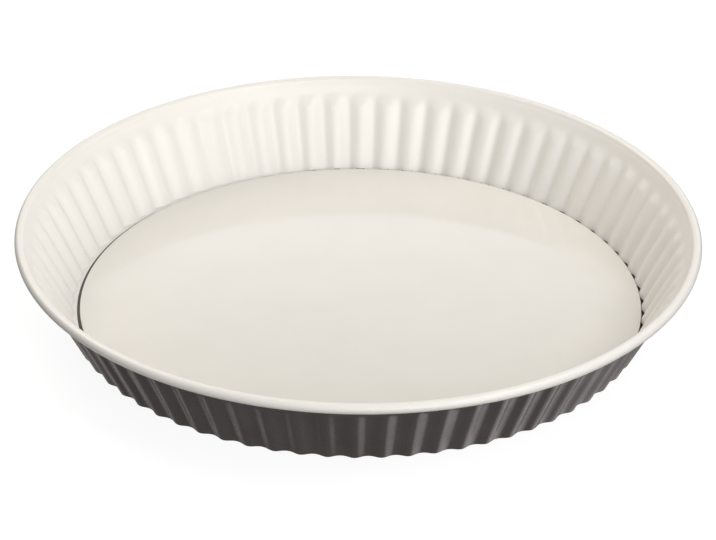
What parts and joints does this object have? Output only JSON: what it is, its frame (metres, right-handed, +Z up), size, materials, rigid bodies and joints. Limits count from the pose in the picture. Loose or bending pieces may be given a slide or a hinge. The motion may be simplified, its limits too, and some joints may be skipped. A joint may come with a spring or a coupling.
{
  "type": "loose-bottom quiche pan",
  "caption": "Round quiche pan: a fluted leaning ring with a rolled rim and an inner ledge, and a flat loose base disc that lies on the ledge and lifts out upwards.",
  "frame": {"origin": "middle of the circle that the ring stands on, at the table", "axes": "+Z up along the pan's axis; -Y faces the viewer in the picture"},
  "size_m": [0.29, 0.29, 0.038],
  "materials": {
    "ring_coat": "cream semi-gloss coat inside and on the rolled rim, dark grey-brown satin coat outside and underneath",
    "base_coat": "cream semi-gloss coat on top, dark grey-brown satin coat underneath"
  },
  "bodies": {
    "ring": {"fluted_ring": "ring_coat"},
    "base": {"loose_base": "base_coat"}
  },
  "joints": [
    {"name": "base_lift", "type": "slide", "parent": "ring", "child": "base", "axis": [0, 0, 1], "range_m": [0, 0.06]}
  ]
}
